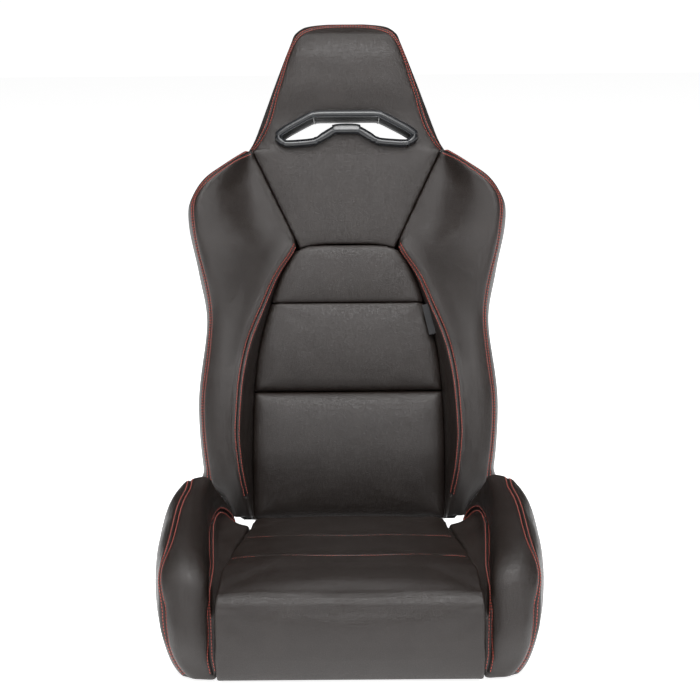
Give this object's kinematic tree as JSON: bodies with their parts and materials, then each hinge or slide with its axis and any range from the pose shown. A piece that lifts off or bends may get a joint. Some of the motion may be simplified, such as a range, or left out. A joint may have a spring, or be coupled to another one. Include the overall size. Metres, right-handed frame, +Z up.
{
  "type": "reclining sport seat",
  "caption": "Reclining bucket-style sport seat with side bolsters, shoulder wings, a belt slot in the head pad and a hinged, lever-released back on a steel base.",
  "frame": {"origin": "centre of the four fixing holes, on the underside of the base rails", "axes": "+Z up, -Y the way the sitter faces, +X to the sitter's left"},
  "size_m": [0.5542, 0.7587, 0.8937],
  "materials": {
    "upholstery": "satin",
    "frame_paint": "satin",
    "grip_plastic": "matte",
    "bezel_plastic": "gloss",
    "cover_plastic": "matte",
    "shell_plastic": "satin",
    "felt": "matte",
    "spring_steel": "satin",
    "recliner_steel": "satin",
    "zinc_hardware": "satin"
  },
  "bodies": {
    "base": {"side_rail_left": "frame_paint", "side_rail_right": "frame_paint", "front_cross_tube": "frame_paint", "rear_cross_tube": "frame_paint", "side_frame_left": "frame_paint", "side_frame_right": "frame_paint", "weld_nuts": "zinc_hardware", "seat_springs": "spring_steel", "seat_spring_clips": "zinc_hardware", "cushion_support_pad": "felt", "seat_cushion": "upholstery", "thigh_bolster_left": "upholstery", "thigh_bolster_right": "upholstery", "recliner_cover_left": "cover_plastic", "recliner_cover_right": "cover_plastic", "cover_screws": "zinc_hardware", "travel_stops": "zinc_hardware", "spring_pegs": "zinc_hardware", "return_spring_left": "spring_steel", "return_spring_right": "spring_steel", "rod_bushes": "cover_plastic"},
    "backrest": {"back_frame_hoop": "frame_paint", "lower_back_tube": "frame_paint", "upper_back_tube": "frame_paint", "back_springs": "spring_steel", "back_spring_clips": "zinc_hardware", "back_support_pad": "felt", "recliner_arm_left": "recliner_steel", "recliner_arm_right": "recliner_steel", "arm_bolts": "zinc_hardware", "hinge_pin_left": "recliner_steel", "hinge_pin_right": "recliner_steel", "back_pad_lower": "upholstery", "back_pad_middle": "upholstery", "back_pad_upper": "upholstery", "head_pad": "upholstery", "back_bolster_left": "upholstery", "back_bolster_right": "upholstery", "rear_shell": "shell_plastic", "slot_bezel_front": "bezel_plastic", "slot_bezel_rear": "bezel_plastic", "shell_spacers": "cover_plastic", "shell_screws": "zinc_hardware"},
    "release": {"release_rod": "recliner_steel", "pawl_left": "recliner_steel", "pawl_right": "recliner_steel", "lever_left": "frame_paint", "lever_right": "frame_paint", "lever_grip_left": "grip_plastic", "lever_grip_right": "grip_plastic", "lever_screws": "zinc_hardware"}
  },
  "joints": [
    {"name": "backrest_recline", "type": "hinge", "parent": "base", "child": "backrest", "pos_m": [0, 0.225, 0.1], "axis": [1, 0, 0], "range_deg": [-60, 10], "deforming": ["return_spring_left", "return_spring_right"]},
    {"name": "lever_release", "type": "hinge", "parent": "base", "child": "release", "pos_m": [0, 0.181, 0.068], "axis": [1, 0, 0], "range_deg": [-25, 0], "stiffness_Nm_per_rad": 2, "springref_deg": 20.05}
  ]
}
